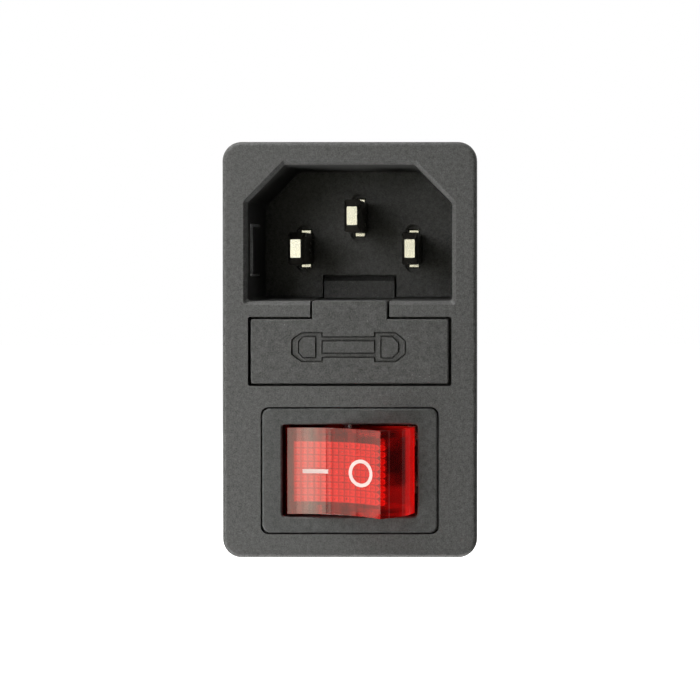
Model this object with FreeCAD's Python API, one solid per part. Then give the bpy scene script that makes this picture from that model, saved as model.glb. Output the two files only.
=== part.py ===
import FreeCAD, Part
import math
import os
from FreeCAD import Vector

# Snap-in mains inlet: three-blade recess, fuse drawer and lighted rocker switch in one flange.
# Frame: origin at the centre of the flange's back face, +X to the right seen from the front,
# +Z up, the front looks along -Y and the body runs back along +Y. Millimetres.

# ---- flange and shell ----
FL_W, FL_H, FL_T, FL_R = 30.6, 50.0, 2.4, 2.3      # flange width, height, thickness, corner radius
FL_EDGE = 0.55                                     # rounded front edge of the flange
BODY_X = 13.4                                      # half width of the shell behind the flange
BODY_TOP, BODY_BOT = 23.4, -23.4                   # top and bottom of the shell
BLOCK_BOT = -5.6                                   # underside of the inlet and fuse block
BLOCK_D = 17.1                                     # depth of the inlet and fuse block
SKIRT_D, SKIRT_WALL = 10.5, 1.2                    # skirt round the switch
RC_X, RC_TOP, RC_BOT = 12.3, 22.28, 5.87           # connector recess: half width, top, bottom
RC_CUT_X, RC_CUT_Z = 7.8, 17.68                    # where the cut corners begin
RC_RIM = 0.47                                      # chamfer round the mouth
RC_FLOOR = 14.1                                    # y of the recess floor
RC_DRAFT = 0.12                                    # mould draft over the depth
# ---- contact blades ----
PIN_X, PIN_Z, EARTH_Z = 7.0, 12.2, 16.2            # line and neutral at -X and +X, earth in the middle
PIN_T, PIN_W = 2.0, 4.0                            # blade section
PIN_TIP, EARTH_TIP = 2.1, 1.1                      # y of the blade tips
SLOT_W, SLOT_H = 2.4, 6.2                          # round-ended slot in the floor at each blade
SHOULDER_W, SHOULDER_H = 1.5, 5.1
STUB_R = 0.72                                      # stub of the line blade, riveted over the fuse clip's strap
TAB_W, TAB_T, TAB_END, TAB_HOLE_R = 4.8, 0.8, 26.6, 0.75
# ---- fuse drawer ----
POCKET_X, POCKET_Z0, POCKET_Z1, POCKET_Y = 12.22, -4.32, 4.0, 0.1
FRONT_X, FRONT_Z0, FRONT_Z1, FRONT_T = 11.9, -4.03, 3.74, 2.2
TUN_X, TUN_Z0, TUN_Z1, TUN_Y = 11.5, -3.75, 3.35, 14.5
TONGUE_HALF, TONGUE_SLOT = 4.52, 4.76
TONGUE_Z0, TONGUE_Z1 = 3.1, 5.86
CATCH_TOP, CATCH_Y0, CATCH_Y1 = 8.6, 13.5, 16.0    # finger catch at the deep end of the tongue
NOTCH_TOP, NOTCH_Y = 8.8, 16.3
TRAY_X, TRAY_Z0, TRAY_Z1, TRAY_Y = 11.3, -3.45, 3.1, 13.6
FUSE_Y, FUSE_Z = 10.7, -0.25                       # axis of the fuse, along X
CAP_R, CAP_L, CAP_WALL, FUSE_L, GLASS_R, GLASS_IN = 2.6, 5.5, 0.25, 20.0, 2.3, 1.75
# ---- rocker switch ----
SW_Z = -14.49                                      # centre height of the switch
BEZ_X, BEZ_H, BEZ_T, BEZ_R = 10.58, 7.53, 1.6, 1.05 # bezel half width, half height, thickness, corner
POCKET_R = 0.95                                    # corner of the pocket that the bezel sits in
BEZ_GAP, BEZ_EDGE = 0.12, 0.3                       # gap round the bezel, rounded front edge
SWB_X, SWB_H, SWB_Y = 9.6, 6.4, 11.6               # switch body half width, half height, rear
WIN_X, WIN_H = 8.15, 5.55                          # window half width, half height
CAV_Y = 9.6                                        # floor of the switch body
RK_PIVOT_Y = 0.3                                   # rocker axis, parallel to Z at X = 0
RK_TILT = 20.0                                     # tilt of the rocker at rest, left end pressed
RK_A, RK_MID, RK_SAG = 6.07, 3.75, 1.42            # half length, height of the middle, end rise
RK_H = 5.18                                        # half width of the rocker along Z
RK_WALL, RK_TOP = 1.0, 1.3
BAR_HINGE_Y, BAR_TILT = 7.1, 10.0                  # contact bars rock about this line
ROW = 3.0                                          # the two poles stand this far either side of the middle
END_TAB_X = 6.6

os.makedirs("parts", exist_ok=True)
Y = Vector(0, 1, 0)
Z = Vector(0, 0, 1)


def box(x0, x1, y0, y1, z0, z1):
    return Part.makeBox(x1 - x0, y1 - y0, z1 - z0, Vector(x0, y0, z0))


def ring_wire(points, radii, place):
    """A closed outline with rounded corners; place turns a 2-D point into a 3-D one."""
    n = len(points)
    if not isinstance(radii, (list, tuple)):
        radii = [radii] * n
    starts, mids, ends = [], [], []
    for i in range(n):
        p, a, b = points[i], points[i - 1], points[(i + 1) % n]
        r = radii[i]
        if r <= 0:
            starts.append(p), mids.append(None), ends.append(p)
            continue
        ua = (a[0] - p[0], a[1] - p[1])
        ub = (b[0] - p[0], b[1] - p[1])
        la, lb = math.hypot(*ua), math.hypot(*ub)
        ua, ub = (ua[0] / la, ua[1] / la), (ub[0] / lb, ub[1] / lb)
        half = math.acos(max(-1, min(1, ua[0] * ub[0] + ua[1] * ub[1]))) / 2
        t = r / math.tan(half)
        bis = (ua[0] + ub[0], ua[1] + ub[1])
        lbis = math.hypot(*bis)
        bis = (bis[0] / lbis, bis[1] / lbis)
        c = r / math.sin(half)
        starts.append((p[0] + ua[0] * t, p[1] + ua[1] * t))
        mids.append((p[0] + bis[0] * (c - r), p[1] + bis[1] * (c - r)))
        ends.append((p[0] + ub[0] * t, p[1] + ub[1] * t))
    edges = []
    for i in range(n):
        if mids[i]:
            edges.append(Part.Arc(place(starts[i]), place(mids[i]), place(ends[i])).toShape())
        j = (i + 1) % n
        if math.dist(ends[i], starts[j]) > 1e-6:
            edges.append(Part.LineSegment(place(ends[i]), place(starts[j])).toShape())
    return Part.Wire(edges)


def xz(y):
    return lambda p: Vector(p[0], y, p[1])


def xy(z):
    return lambda p: Vector(p[0], p[1], z)


def prism_y(points, radii, y0, y1):
    return Part.Face(ring_wire(points, radii, xz(y0))).extrude(Vector(0, y1 - y0, 0))


def prism_z(points, radii, z0, z1):
    return Part.Face(ring_wire(points, radii, xy(z0))).extrude(Vector(0, 0, z1 - z0))


def rect(x0, x1, z0, z1):
    return [(x0, z0), (x1, z0), (x1, z1), (x0, z1)]


def taper_y(points_a, radii_a, ya, points_b, radii_b, yb):
    return Part.makeLoft([ring_wire(points_a, radii_a, xz(ya)), ring_wire(points_b, radii_b, xz(yb))], True, True)


def rod_x(r, x0, x1, y, z):
    return Part.makeCylinder(r, x1 - x0, Vector(x0, y, z), Vector(1, 0, 0))


def rod_y(r, y0, y1, x, z):
    return Part.makeCylinder(r, y1 - y0, Vector(x, y0, z), Vector(0, 1, 0))


def rod_z(r, z0, z1, x, y):
    return Part.makeCylinder(r, z1 - z0, Vector(x, y, z0), Vector(0, 0, 1))


def joined(first, *rest):
    out = first.fuse(list(rest))
    return out.removeSplitter()


def mirrored_x(shape):
    return shape.mirror(Vector(0, 0, 0), Vector(1, 0, 0))


def out(name, shape):
    solids = shape.Solids
    shape = solids[0] if len(solids) == 1 else Part.makeCompound(solids)
    print("%-24s solids %d valid %s volume %.2f mm3" % (name, len(solids), shape.isValid(), shape.Volume))
    shape.exportStep("parts/%s.step" % name)
    return shape


# ---------------------------------------------------------------- housing
flange = prism_y(rect(-FL_W / 2, FL_W / 2, -FL_H / 2, FL_H / 2), FL_R, -FL_T, 0)
rim = [e for e in flange.Edges if abs(e.BoundBox.YMin + FL_T) < 1e-6 and abs(e.BoundBox.YMax + FL_T) < 1e-6]
flange = flange.makeFillet(FL_EDGE, rim)

block_outline = [(-BODY_X, BLOCK_BOT), (BODY_X, BLOCK_BOT), (BODY_X, 18.34), (8.55, BODY_TOP), (-8.55, BODY_TOP), (-BODY_X, 18.34)]
block = prism_y(block_outline, [0.4, 0.4, 0.8, 0.8, 0.8, 0.8], -0.5, BLOCK_D)
back_edges = [e for e in block.Edges if e.BoundBox.YMin > BLOCK_D - 1e-6]
block = block.makeChamfer(0.4, back_edges)
skirt = prism_y(rect(-BODY_X, BODY_X, BODY_BOT, BLOCK_BOT + 1.0), [1.0, 1.0, 0.3, 0.3], -0.5, SKIRT_D)
skirt = skirt.cut(prism_y(rect(-BODY_X + SKIRT_WALL, BODY_X - SKIRT_WALL, BODY_BOT + SKIRT_WALL, BLOCK_BOT), 0.5, 0.0, SKIRT_D + 1))
# collar behind the flange that thickens the edge of the switch hole
collar = box(-10.9, 10.9, -0.2, 1.0, SW_Z - 7.6, SW_Z + 7.6)
housing = joined(flange, block, skirt, collar)

# connector recess with chamfered mouth and drafted walls
inner = [(-RC_X, RC_BOT), (RC_X, RC_BOT), (RC_X, RC_CUT_Z), (RC_CUT_X, RC_TOP), (-RC_CUT_X, RC_TOP), (-RC_X, RC_CUT_Z)]
mouth = [(-12.77, 5.42), (12.77, 5.42), (12.77, 17.87), (8.0, 22.74), (-8.0, 22.74), (-12.77, 17.87)]
d = RC_DRAFT
deep = [(-RC_X + d, RC_BOT + d), (RC_X - d, RC_BOT + d), (RC_X - d, RC_CUT_Z - d * 0.4), (RC_CUT_X - d * 0.4, RC_TOP - d), (-RC_CUT_X + d * 0.4, RC_TOP - d), (-RC_X + d, RC_CUT_Z - d * 0.4)]
rr = [0.4, 0.4, 0.5, 0.5, 0.5, 0.5]
recess = taper_y(mouth, rr, -FL_T - 0.0, inner, rr, -FL_T + RC_RIM)
recess = recess.fuse([taper_y(inner, rr, -FL_T + RC_RIM, deep, rr, RC_FLOOR), prism_y(mouth, rr, -FL_T - 1, -FL_T)])
housing = housing.cut(recess)

# drawer pocket, tunnel, and the slot that lets the drawer's tongue run along the recess
housing = housing.cut([
    prism_y(rect(-POCKET_X, POCKET_X, POCKET_Z0, POCKET_Z1), 0.3, -FL_T - 1, POCKET_Y),
    box(-TUN_X, TUN_X, -1, TUN_Y, TUN_Z0, TUN_Z1),
    box(-TONGUE_SLOT, TONGUE_SLOT, -FL_T - 1, RC_FLOOR + 0.2, TUN_Z0 + 1, RC_BOT + 0.5),
    box(-TONGUE_SLOT, TONGUE_SLOT, RC_FLOOR - 0.5, NOTCH_Y, TUN_Z0 + 1, NOTCH_TOP),
])

# switch opening: shallow bezel pocket and a through hole
housing = housing.cut([
    prism_y(rect(-BEZ_X - BEZ_GAP, BEZ_X + BEZ_GAP, SW_Z - BEZ_H - BEZ_GAP, SW_Z + BEZ_H + BEZ_GAP), POCKET_R, -FL_T - 1, -FL_T + BEZ_T),
    prism_y(rect(-SWB_X - 0.1, SWB_X + 0.1, SW_Z - SWB_H - 0.1, SW_Z + SWB_H + 0.1), 0.4, -FL_T - 1, 3),
])

# blade slots in the recess floor: rounded mouth, then a close fit round each shoulder
cuts = []
for px, pz in ((-PIN_X, PIN_Z), (PIN_X, PIN_Z), (0, EARTH_Z)):
    cuts.append(prism_y(rect(px - SLOT_W / 2, px + SLOT_W / 2, pz - SLOT_H / 2, pz + SLOT_H / 2), SLOT_W / 2 - 0.01, RC_FLOOR - 0.5, 15.0))
    cuts.append(box(px - SHOULDER_W / 2, px + SHOULDER_W / 2, 14.9, BLOCK_D + 1, pz - SHOULDER_H / 2, pz + SHOULDER_H / 2))
# slots for the two fuse clips' tails in the tunnel's back wall
cuts.append(box(PIN_X - 2.4 + 0.2, PIN_X + 2.4 + 0.2, TUN_Y - 0.1, BLOCK_D + 1, FUSE_Z - 0.4, FUSE_Z + 0.4))
cuts.append(box(-PIN_X - 2.2, -PIN_X + 1.8, TUN_Y - 0.1, BLOCK_D + 1, FUSE_Z - 0.4, FUSE_Z + 0.4))
housing = housing.cut(cuts)

# snap latches on the long sides: each tongue is cut free by a window and two slots and carries a ramped tooth
LATCH_Y, LATCH_HALF, LATCH_OUT, SLIT_END = 2.7, 2.9, 1.0, 8.3
teeth = []
cuts = []
for side in (-1, 1):
    for zc in (12.0, -14.5):
        x_in, x_out = side * 11.9, side * (BODY_X + 0.5)
        x0, x1 = min(x_in, x_out), max(x_in, x_out)
        cuts.append(box(x0, x1, 0.3, LATCH_Y, zc - LATCH_HALF - 0.35, zc + LATCH_HALF + 0.35))
        for s in (-1, 1):
            z0 = zc + s * (LATCH_HALF + 0.175)
            cuts.append(box(x0, x1, 0.3, SLIT_END, z0 - 0.175, z0 + 0.175))
        tooth = prism_z([(side * (BODY_X - 0.3), LATCH_Y), (side * (BODY_X + LATCH_OUT), LATCH_Y + 0.15), (side * (BODY_X + LATCH_OUT), LATCH_Y + 0.9), (side * (BODY_X - 0.3), LATCH_Y + 5.6)], [0, 0.12, 0.4, 0], zc - LATCH_HALF, zc + LATCH_HALF)
        teeth.append(tooth)
housing = housing.cut(cuts)
housing = housing.fuse(teeth)

# ribs on the back wall: one each side of the line strap, one between earth and neutral
ribs = [
    box(-10.4, -9.6, BLOCK_D - 0.2, BLOCK_D + 1.4, -4.6, 16.0),
    box(-4.4, -3.6, BLOCK_D - 0.2, BLOCK_D + 1.4, -4.6, 16.0),
    box(3.0, 3.8, BLOCK_D - 0.2, BLOCK_D + 1.4, -4.6, 16.0),
]
# stiffening ribs between the skirt and the switch hole
for s in (-1, 1):
    ribs.append(box(-0.5, 0.5, 0.0, SKIRT_D - 2.5, BODY_BOT + 0.6, SW_Z - SWB_H - 0.7) if s < 0 else box(-0.5, 0.5, 0.0, SKIRT_D - 2.5, SW_Z + SWB_H + 0.7, BLOCK_BOT + 0.2))
housing = housing.fuse(ribs).removeSplitter()
out("housing", housing)

# ---------------------------------------------------------------- contact blades


def blade(px, pz, tip):
    a = rect(px - 0.62, px + 0.62, pz - 1.12, pz + 1.12)
    b = rect(px - PIN_T / 2, px + PIN_T / 2, pz - PIN_W / 2, pz + PIN_W / 2)
    nose = taper_y(a, 0.12, tip, b, 0.3, tip + 1.1)
    shank = prism_y(b, 0.3, tip + 1.1, 15.0)
    shoulder = box(px - SHOULDER_W / 2, px + SHOULDER_W / 2, 15.0, 16.7, pz - SHOULDER_H / 2, pz + SHOULDER_H / 2)
    shoulder = shoulder.makeChamfer(0.18, [e for e in shoulder.Edges if e.BoundBox.YMax < 15.01])
    return [nose, shank, shoulder]


def rear_tab(px, pz, y0=16.6, y1=TAB_END, w=TAB_W, t=TAB_T):
    """A flat quick-connect tab in the YZ plane, with bevelled tip and a dimple hole."""
    outline = [(y0, pz - w / 2), (y1 - 1.1, pz - w / 2), (y1, pz - w / 2 + 0.9), (y1, pz + w / 2 - 0.9), (y1 - 1.1, pz + w / 2), (y0, pz + w / 2)]
    wire = ring_wire(outline, 0, lambda p: Vector(px - t / 2, p[0], p[1]))
    tab = Part.Face(wire).extrude(Vector(t, 0, 0))
    return tab.cut(Part.makeCylinder(TAB_HOLE_R, t + 2, Vector(px - t / 2 - 1, y1 - 3.6, pz), Vector(1, 0, 0)))


earth = blade(0, EARTH_Z, EARTH_TIP)
out("earth_pin", joined(earth[0], earth[1], earth[2], rear_tab(0, EARTH_Z)))
neutral = blade(PIN_X, PIN_Z, PIN_TIP)
out("neutral_pin", joined(neutral[0], neutral[1], neutral[2], rear_tab(PIN_X, PIN_Z)))
# the line blade ends in a short stub, spread like a rivet over the strap of the fuse clip
line = blade(-PIN_X, PIN_Z, PIN_TIP)
stub = rod_y(STUB_R, 16.6, BLOCK_D + 0.6, -PIN_X, PIN_Z)
head = Part.makeCone(1.6, 1.0, 0.6, Vector(-PIN_X, BLOCK_D + 0.6, PIN_Z), Y)
out("line_pin", joined(line[0], line[1], line[2], stub, head))

# ---------------------------------------------------------------- fuse clips
FORK_IN, FORK_T, FORK_W = CAP_R + 0.04, 0.4, 4.0


def fork(cx):
    """Two spring blades above and below the fuse cap, joined by a base plate on the tunnel's back wall."""
    plate = box(cx - FORK_W / 2, cx + FORK_W / 2, 14.0, TUN_Y, FUSE_Z - FORK_IN - FORK_T, FUSE_Z + FORK_IN + FORK_T)
    parts = [plate]
    for s in (-1, 1):
        za, zb = FUSE_Z + s * FORK_IN, FUSE_Z + s * (FORK_IN + FORK_T)
        parts.append(box(cx - FORK_W / 2, cx + FORK_W / 2, 8.9, 14.2, min(za, zb), max(za, zb)))
        lip = [(9.0, za), (9.0, zb), (8.3, zb + s * 0.12), (8.3, za + s * 0.12)]
        wire = ring_wire(lip, 0, lambda p: Vector(cx - FORK_W / 2, p[0], p[1]))
        parts.append(Part.Face(wire).extrude(Vector(FORK_W, 0, 0)))
    return parts


load = fork(PIN_X + 0.2)
tail = prism_z([(PIN_X + 0.2 - 2.4, 14.3), (PIN_X + 0.2 + 2.4, 14.3), (PIN_X + 0.2 + 2.4, TAB_END - 1.1), (PIN_X + 0.2 + 1.5, TAB_END), (PIN_X + 0.2 - 1.5, TAB_END), (PIN_X + 0.2 - 2.4, TAB_END - 1.1)], 0, FUSE_Z - 0.4, FUSE_Z + 0.4)
tail = tail.cut(rod_z(TAB_HOLE_R, FUSE_Z - 2, FUSE_Z + 2, PIN_X + 0.2, TAB_END - 3.6))
out("load_fuse_clip", joined(load[0], *load[1:], tail))

lclip = fork(-PIN_X - 0.2)
tail = box(-PIN_X - 2.2, -PIN_X + 1.8, 14.3, BLOCK_D + 0.5, FUSE_Z - 0.4, FUSE_Z + 0.4)
strap = prism_y(rect(-PIN_X - 2.0, -PIN_X + 2.0, FUSE_Z - 0.4, PIN_Z + 2.6), [0, 0, 1.2, 1.2], BLOCK_D, BLOCK_D + 0.6)
strap = strap.cut(rod_y(STUB_R, BLOCK_D - 1, BLOCK_D + 2, -PIN_X, PIN_Z))
out("line_fuse_clip", joined(lclip[0], *lclip[1:], tail, strap))

# ---------------------------------------------------------------- fuse drawer
front = prism_y(rect(-FRONT_X, FRONT_X, FRONT_Z0, FRONT_Z1), 0.3, -FL_T, -FL_T + FRONT_T)
front_edges = [e for e in front.Edges if abs(e.BoundBox.YMin + FL_T) < 1e-6 and abs(e.BoundBox.YMax + FL_T) < 1e-6]
front = front.makeFillet(0.22, front_edges)
finger_tab = prism_y(rect(-TONGUE_HALF, TONGUE_HALF, FRONT_Z1 - 0.6, TONGUE_Z1 + 0.08), [0, 0, 0.3, 0.3], -FL_T, -FL_T + FRONT_T)
tab_edges = [e for e in finger_tab.Edges if abs(e.BoundBox.YMin + FL_T) < 1e-6 and abs(e.BoundBox.YMax + FL_T) < 1e-6 and e.BoundBox.ZMax > FRONT_Z1]
finger_tab = finger_tab.makeFillet(0.15, tab_edges)
tongue = box(-TONGUE_HALF, TONGUE_HALF, -0.6, CATCH_Y0 + 0.2, TONGUE_Z0, TONGUE_Z1)
catch_profile = [(CATCH_Y0, TONGUE_Z0), (CATCH_Y1, TONGUE_Z0), (CATCH_Y1, CATCH_TOP), (CATCH_Y0 + 0.9, CATCH_TOP), (CATCH_Y0, CATCH_TOP - 0.55)]
catch = Part.Face(ring_wire(catch_profile, 0, lambda p: Vector(-TONGUE_HALF, p[0], p[1]))).extrude(Vector(2 * TONGUE_HALF, 0, 0))
roof = box(-TRAY_X, TRAY_X, -0.3, 7.4, 2.3, TRAY_Z1)
cross = box(-TRAY_X, TRAY_X, 6.5, 7.4, TRAY_Z0, TRAY_Z1)
sides = [box(-TRAY_X, -TRAY_X + 1.1, -0.3, TRAY_Y, TRAY_Z0, TRAY_Z1), box(TRAY_X - 1.1, TRAY_X, -0.3, TRAY_Y, TRAY_Z0, TRAY_Z1)]
cradle = box(-4.35, 4.35, 7.2, TRAY_Y, FUSE_Z - 0.75, TONGUE_Z0 + 0.2)
drawer = joined(front, finger_tab, tongue, catch, roof, cross, cradle, *sides)
# the cradle grips the glass from above and is open below
drawer = drawer.cut([
    rod_x(GLASS_R + 0.06, -5, 5, FUSE_Y, FUSE_Z),
    box(-5, 5, FUSE_Y - 2.2, FUSE_Y + 2.2, TRAY_Z0 - 1, FUSE_Z - 0.2),
])

# fuse symbol on the drawer front: a shallow recessed band with a deeper fine line along both of its edges
BAND_DEPTH, LINE_DEPTH, LINE_W = 0.2, 0.55, 0.17


def polygon(points):
    return Part.Face(ring_wire(points, 0, xz(-FL_T)))


left_cap = polygon([(-5.80, -1.46), (-3.22, -1.46), (-3.22, 2.18), (-5.80, 2.18), (-7.02, 1.28), (-7.02, -0.56)]).cut(
    polygon([(-5.52, -0.83), (-4.16, -0.83), (-4.16, 1.54), (-5.52, 1.54), (-6.05, 0.97), (-6.05, -0.25)]))
right_cap = polygon([(2.92, -1.46), (5.54, -1.46), (6.77, -0.52), (6.77, 1.16), (5.54, 2.18), (2.92, 2.18)]).cut(
    polygon([(3.84, -0.86), (5.10, -0.86), (5.80, -0.15), (5.80, 0.85), (5.10, 1.56), (3.84, 1.56)]))
stripe_band = polygon(rect(-3.3, 3.0, -0.95, 1.67)).cut(polygon(rect(-3.31, 3.01, -0.29, 1.04)))
down = Vector(0, BAND_DEPTH, 0)
band = left_cap.extrude(down).fuse([right_cap.extrude(down), stripe_band.extrude(down)]).removeSplitter()
symbol = [f for f in band.Faces if abs(f.BoundBox.YMin + FL_T) < 1e-6 and abs(f.BoundBox.YMax + FL_T) < 1e-6]
symbol = symbol[0]
core = symbol.makeOffset2D(-LINE_W)
lines = symbol.cut(core).extrude(Vector(0, LINE_DEPTH, 0))
drawer = drawer.cut([band, lines]).removeSplitter()
out("fuse_drawer", drawer)

# ---------------------------------------------------------------- fuse
tube = rod_x(GLASS_R, -FUSE_L / 2 + 0.4, FUSE_L / 2 - 0.4, FUSE_Y, FUSE_Z).cut(rod_x(GLASS_IN, -FUSE_L, FUSE_L, FUSE_Y, FUSE_Z))
out("fuse_glass_tube", tube)
cap = rod_x(CAP_R, FUSE_L / 2 - CAP_L, FUSE_L / 2, FUSE_Y, FUSE_Z)
cap = cap.cut(rod_x(GLASS_R + 0.02, 0, FUSE_L / 2 - 0.4, FUSE_Y, FUSE_Z))
end = [e for e in cap.Edges if abs(e.BoundBox.XMin - FUSE_L / 2) < 1e-6]
cap = cap.makeFillet(0.3, end)
out("fuse_cap_right", cap)
out("fuse_cap_left", mirrored_x(cap))
out("fuse_wire", rod_x(0.12, -FUSE_L / 2 + 0.4, FUSE_L / 2 - 0.4, FUSE_Y, FUSE_Z))

# ---------------------------------------------------------------- switch body
bezel = prism_y(rect(-BEZ_X, BEZ_X, SW_Z - BEZ_H, SW_Z + BEZ_H), BEZ_R, -FL_T, -FL_T + BEZ_T)
bezel_edges = [e for e in bezel.Edges if abs(e.BoundBox.YMin + FL_T) < 1e-6 and abs(e.BoundBox.YMax + FL_T) < 1e-6]
bezel = bezel.makeFillet(BEZ_EDGE, bezel_edges)
can = prism_y(rect(-SWB_X, SWB_X, SW_Z - SWB_H, SW_Z + SWB_H), 0.4, -FL_T + 0.5, SWB_Y)
can = can.makeChamfer(0.35, [e for e in can.Edges if e.BoundBox.YMin > SWB_Y - 1e-6])
sw = joined(bezel, can)
sw = sw.cut([
    prism_y(rect(-WIN_X, WIN_X, SW_Z - WIN_H, SW_Z + WIN_H), 0.4, -FL_T - 1, CAV_Y),
    taper_y(rect(-WIN_X - 0.18, WIN_X + 0.18, SW_Z - WIN_H - 0.18, SW_Z + WIN_H + 0.18), 0.58, -FL_T - 0.01, rect(-WIN_X, WIN_X, SW_Z - WIN_H, SW_Z + WIN_H), 0.4, -FL_T + 0.18),
    rod_z(1.26, SW_Z - 8, SW_Z + 8, 0, RK_PIVOT_Y),
])
# snap wings on the two short ends, cut free by slots
for side in (-1, 1):
    xa, xb = sorted((side * (SWB_X - 0.9), side * (SWB_X + 0.5)))
    slots = [box(xa - 0.5 if side < 0 else xa - 0.3, xb + (0.3 if side < 0 else 0.5), 1.6, 7.6, SW_Z + s * 3.2 - 0.2, SW_Z + s * 3.2 + 0.2) for s in (-1, 1)]
    sw = sw.cut(slots)
    wing = prism_z([(side * (SWB_X - 0.3), 1.15), (side * (SWB_X + 0.75), 1.2), (side * (SWB_X + 0.75), 1.8), (side * (SWB_X - 0.3), 6.2)], 0, SW_Z - 3.0, SW_Z + 3.0)
    sw = sw.fuse(wing)
# slots for the four terminals, and a wall between the two poles on the base
slots = []
for s in (-1, 1):
    zc = SW_Z + s * ROW
    slots.append(box(-2.4, 2.4, CAV_Y - 1, SWB_Y + 1, zc - 0.4, zc + 0.4))
    slots.append(box(END_TAB_X - 2.4, END_TAB_X + 1.4, CAV_Y - 1, SWB_Y + 1, zc - 0.4, zc + 0.4))
sw = sw.cut(slots)
sw = sw.fuse([box(-WIN_X - 0.2, WIN_X + 0.2, 8.4, CAV_Y + 0.2, SW_Z - 0.5, SW_Z + 0.5)]).removeSplitter()
out("switch_body", sw)

# ---------------------------------------------------------------- rocker, drawn level and then tilted
# level frame: u along X, height v towards -Y from the axis
R_END = math.hypot(RK_A, RK_MID + RK_SAG)


def top_v(u, drop=0.0):
    return RK_MID + RK_SAG * (u / RK_A) ** 2 - drop


def rocker_outline(a, drop, r_end, v_bottom):
    """Side profile: concave top, ends that follow a circle about the axis, flat underside."""
    t_end = math.sqrt(r_end ** 2 - a ** 2)
    pts = [(-a, t_end)]
    top = Part.Arc(Vector(-a, -t_end, 0), Vector(0, -(RK_MID - drop), 0), Vector(a, -t_end, 0)).toShape()
    ue = math.sqrt(r_end ** 2 - v_bottom ** 2)
    right = Part.Arc(Vector(a, -t_end, 0), Vector(r_end * math.cos(math.radians(15)), -r_end * math.sin(math.radians(15)), 0), Vector(ue, -v_bottom, 0)).toShape()
    left = Part.Arc(Vector(-ue, -v_bottom, 0), Vector(-r_end * math.cos(math.radians(15)), -r_end * math.sin(math.radians(15)), 0), Vector(-a, -t_end, 0)).toShape()
    base = Part.LineSegment(Vector(ue, -v_bottom, 0), Vector(-ue, -v_bottom, 0)).toShape()
    return Part.Wire([top, right, base, left])


def up_from(wire, z0, z1):
    w = wire.copy()
    w.translate(Vector(0, RK_PIVOT_Y, z0))
    return Part.Face(w).extrude(Vector(0, 0, z1 - z0))


SKIRT_V = -0.9
shell = up_from(rocker_outline(RK_A, 0, R_END, SKIRT_V), SW_Z - RK_H, SW_Z + RK_H)
edge_pick = []
for e in shell.Edges:
    bb = e.BoundBox
    if bb.ZLength > 2 * RK_H - 0.01 and bb.YMax < RK_PIVOT_Y - 4.5:
        edge_pick.append(e)
shell = shell.makeFillet(0.35, edge_pick)
hollow_a = RK_A - 0.35
hollow = up_from(rocker_outline(hollow_a, RK_TOP, R_END - 1.15, SKIRT_V - 0.5), SW_Z - RK_H + RK_WALL, SW_Z + RK_H - RK_WALL)
rocker = shell.cut(hollow)
extra = []
for s in (-1, 1):
    zc = SW_Z + s * ROW
    # axle stub on each side wall
    extra.append(rod_z(1.2, min(SW_Z + s * (RK_H - 0.4), SW_Z + s * 6.0), max(SW_Z + s * (RK_H - 0.4), SW_Z + s * 6.0), 0, RK_PIVOT_Y))
    # socket for the spring and plunger
    extra.append(rod_y(1.4, RK_PIVOT_Y - 3.2, RK_PIVOT_Y + 2.4, 0, zc).common(box(-3, 3, -9, 9, SW_Z - RK_H + 0.3, SW_Z + RK_H - 0.3)))
rocker = joined(rocker, *extra)
rocker = rocker.cut([rod_y(0.95, RK_PIVOT_Y - 2.3, RK_PIVOT_Y + 3, 0, SW_Z + s * ROW) for s in (-1, 1)])


def tilt(shape, angle=-RK_TILT, y=RK_PIVOT_Y):
    s = shape.copy()
    s.rotate(Vector(0, y, 0), Z, angle)
    return s


out("rocker", tilt(rocker))

# plungers with a round nose, and their springs
for name, s in (("upper", 1), ("lower", -1)):
    zc = SW_Z + s * ROW
    stem = rod_y(0.88, RK_PIVOT_Y + 0.6, RK_PIVOT_Y + 5.3, 0, zc)
    nose = Part.makeSphere(0.88, Vector(0, RK_PIVOT_Y + 5.3, zc))
    peg = rod_y(0.4, RK_PIVOT_Y - 0.4, RK_PIVOT_Y + 0.7, 0, zc)
    out("%s_plunger" % name, tilt(joined(stem, nose, peg)))
    # coil spring of round wire from the socket's floor to the plunger's shoulder
    wire_r, coil_r, length, turns = 0.13, 0.72, 2.6, 6.5
    helix = Part.makeHelix(length / turns, length, coil_r)
    section = Part.Wire(Part.makeCircle(wire_r, Vector(coil_r, 0, 0), Vector(0, 1, 0)))
    coil = Part.Wire(helix.Edges).makePipeShell([section], True, True)
    coil.rotate(Vector(0, 0, 0), Vector(1, 0, 0), -90)
    coil.translate(Vector(0, RK_PIVOT_Y - 2.3 + wire_r + 0.01, zc))
    out("%s_plunger_spring" % name, tilt(coil))

# neon lamp, its resistor and their leads, inside the rocker
lamp_v = 1.0
ly = RK_PIVOT_Y - lamp_v
lamp = rod_x(1.35, -3.2, 3.0, ly, SW_Z)
lamp = joined(lamp, Part.makeSphere(1.35, Vector(3.0, ly, SW_Z)), rod_x(0.5, -3.9, -3.1, ly, SW_Z))
out("neon_lamp", tilt(lamp))
ry = RK_PIVOT_Y + 1.35
resistor = joined(rod_x(0.8, -3.2, -0.2, ry, SW_Z), rod_x(0.9, -3.2, -2.5, ry, SW_Z), rod_x(0.9, -0.9, -0.2, ry, SW_Z))
out("lamp_resistor", tilt(resistor))
wr = 0.2
lead_a = joined(rod_x(wr, -4.7, -3.9, ly, SW_Z), rod_y(wr, ly, ry, -4.7, SW_Z), rod_x(wr, -4.7, -3.2, ry, SW_Z), Part.makeSphere(wr, Vector(-4.7, ly, SW_Z)), Part.makeSphere(wr, Vector(-4.7, ry, SW_Z)))
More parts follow.
